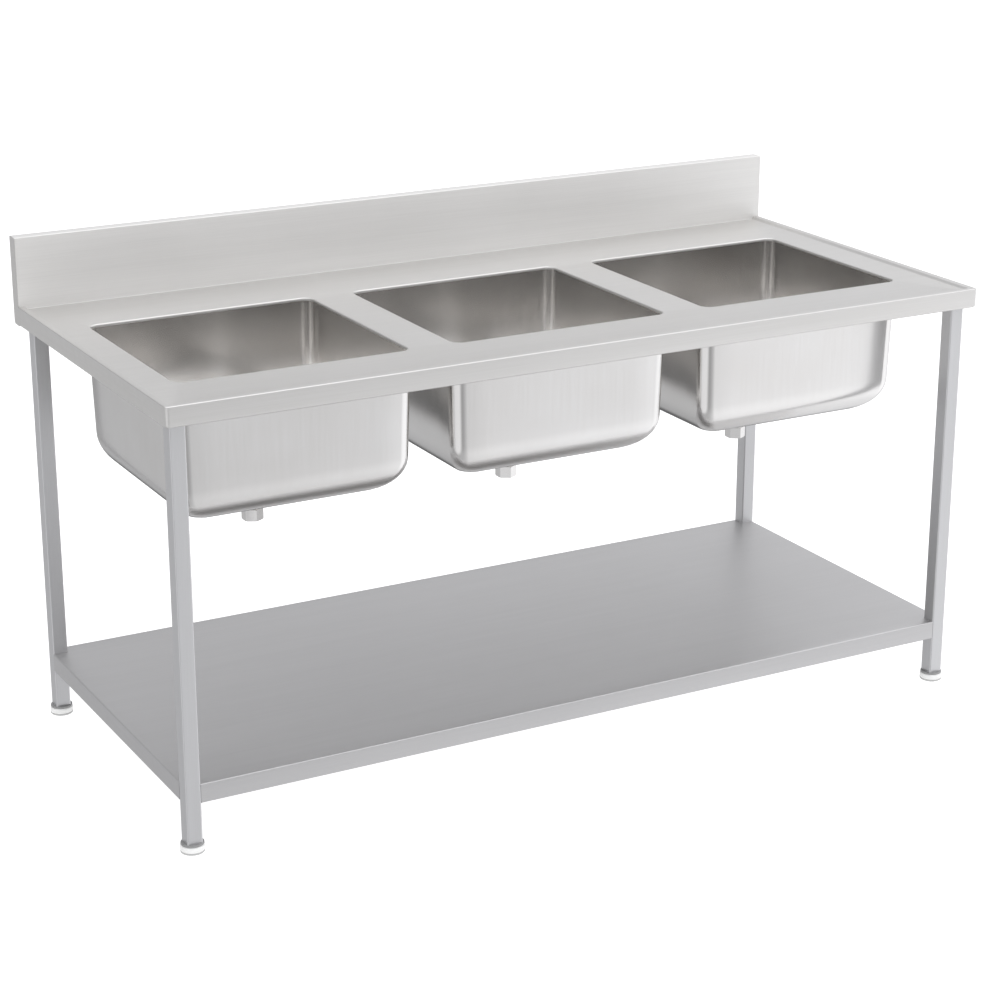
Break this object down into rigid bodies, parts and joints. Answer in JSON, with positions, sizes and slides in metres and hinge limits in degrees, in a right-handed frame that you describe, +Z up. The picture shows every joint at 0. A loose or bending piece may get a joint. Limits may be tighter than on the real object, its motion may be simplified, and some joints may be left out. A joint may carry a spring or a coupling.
{
  "type": "three compartment sink",
  "caption": "Free-standing stainless steel kitchen sink with deep compartments in one worktop, a backsplash, square legs, an undershelf and levelling feet.",
  "frame": {"origin": "on the floor, under the middle of the unit's outer box", "axes": "+X to the right along the length, +Y back to the wall, +Z up"},
  "size_m": [1.83, 0.85, 1.044],
  "materials": {
    "satin_steel": "satin brushed stainless sheet",
    "bowl_steel": "polished pressed stainless sheet",
    "frame_steel": "satin stainless tube and channel",
    "shelf_steel": "satin brushed stainless sheet",
    "bright_steel": "bright plated waste fittings",
    "black_rubber": "moulded rubber",
    "grey_collar": "dark grey moulded insert",
    "zinc_steel": "zinc plated steel",
    "white_nylon": "white nylon",
    "grey_rubber": "grey rubber sole"
  },
  "bodies": {
    "stand": {"worktop": "satin_steel", "backsplash": "satin_steel", "backsplash_end_left": "satin_steel", "backsplash_end_right": "satin_steel", "bowl_left": "bowl_steel", "drain_body_left": "bright_steel", "drain_gasket_left": "black_rubber", "drain_locknut_left": "bright_steel", "slip_washer_left": "black_rubber", "union_nut_left": "bright_steel", "bowl_middle": "bowl_steel", "drain_body_middle": "bright_steel", "drain_gasket_middle": "black_rubber", "drain_locknut_middle": "bright_steel", "slip_washer_middle": "black_rubber", "union_nut_middle": "bright_steel", "bowl_right": "bowl_steel", "drain_body_right": "bright_steel", "drain_gasket_right": "black_rubber", "drain_locknut_right": "bright_steel", "slip_washer_right": "black_rubber", "union_nut_right": "bright_steel", "rail_front": "frame_steel", "rail_rear": "frame_steel", "rail_left": "frame_steel", "rail_right": "frame_steel", "bowl_brace_left": "frame_steel", "bowl_brace_right": "frame_steel", "leg_front_left": "frame_steel", "foot_insert_front_left": "grey_collar", "leg_front_right": "frame_steel", "foot_insert_front_right": "grey_collar", "leg_rear_left": "frame_steel", "foot_insert_rear_left": "grey_collar", "leg_rear_right": "frame_steel", "foot_insert_rear_right": "grey_collar", "undershelf": "shelf_steel", "shelf_stiffener_front": "shelf_steel", "shelf_stiffener_rear": "shelf_steel"},
    "foot_front_left": {"foot_pad_front_left": "white_nylon", "foot_sole_front_left": "grey_rubber"},
    "stud_front_left": {"foot_stud_front_left": "zinc_steel"},
    "foot_front_right": {"foot_pad_front_right": "white_nylon", "foot_sole_front_right": "grey_rubber"},
    "stud_front_right": {"foot_stud_front_right": "zinc_steel"},
    "foot_rear_left": {"foot_pad_rear_left": "white_nylon", "foot_sole_rear_left": "grey_rubber"},
    "stud_rear_left": {"foot_stud_rear_left": "zinc_steel"},
    "foot_rear_right": {"foot_pad_rear_right": "white_nylon", "foot_sole_rear_right": "grey_rubber"},
    "stud_rear_right": {"foot_stud_rear_right": "zinc_steel"},
    "basket_left": {"strainer_basket_left": "bright_steel", "stopper_left": "black_rubber"},
    "basket_middle": {"strainer_basket_middle": "bright_steel", "stopper_middle": "black_rubber"},
    "basket_right": {"strainer_basket_right": "bright_steel", "stopper_right": "black_rubber"}
  },
  "joints": [
    {"name": "foot_front_left_height", "type": "slide", "parent": "stand", "child": "foot_front_left", "axis": [0, 0, -1], "range_m": [0, 0.025]},
    {"name": "stud_front_left_turn", "type": "hinge", "parent": "foot_front_left", "child": "stud_front_left", "pos_m": [-0.884, -0.384, 0.03], "axis": [0, 0, -1], "range_deg": [0, 6000]},
    {"name": "foot_front_right_height", "type": "slide", "parent": "stand", "child": "foot_front_right", "axis": [0, 0, -1], "range_m": [0, 0.025]},
    {"name": "stud_front_right_turn", "type": "hinge", "parent": "foot_front_right", "child": "stud_front_right", "pos_m": [0.884, -0.384, 0.03], "axis": [0, 0, -1], "range_deg": [0, 6000]},
    {"name": "foot_rear_left_height", "type": "slide", "parent": "stand", "child": "foot_rear_left", "axis": [0, 0, -1], "range_m": [0, 0.025]},
    {"name": "stud_rear_left_turn", "type": "hinge", "parent": "foot_rear_left", "child": "stud_rear_left", "pos_m": [-0.884, 0.3675, 0.03], "axis": [0, 0, -1], "range_deg": [0, 6000]},
    {"name": "foot_rear_right_height", "type": "slide", "parent": "stand", "child": "foot_rear_right", "axis": [0, 0, -1], "range_m": [0, 0.025]},
    {"name": "stud_rear_right_turn", "type": "hinge", "parent": "foot_rear_right", "child": "stud_rear_right", "pos_m": [0.884, 0.3675, 0.03], "axis": [0, 0, -1], "range_deg": [0, 6000]},
    {"name": "basket_left_lift", "type": "slide", "parent": "stand", "child": "basket_left", "axis": [0, 0, 1], "range_m": [0, 0.15]},
    {"name": "basket_middle_lift", "type": "slide", "parent": "stand", "child": "basket_middle", "axis": [0, 0, 1], "range_m": [0, 0.15]},
    {"name": "basket_right_lift", "type": "slide", "parent": "stand", "child": "basket_right", "axis": [0, 0, 1], "range_m": [0, 0.15]}
  ],
  "couplings": [
    {"joint": "stud_front_left_turn", "follows": "foot_front_left_height", "rad_per_m": 4188.8},
    {"joint": "stud_front_right_turn", "follows": "foot_front_right_height", "rad_per_m": 4188.8},
    {"joint": "stud_rear_left_turn", "follows": "foot_rear_left_height", "rad_per_m": 4188.8},
    {"joint": "stud_rear_right_turn", "follows": "foot_rear_right_height", "rad_per_m": 4188.8}
  ]
}
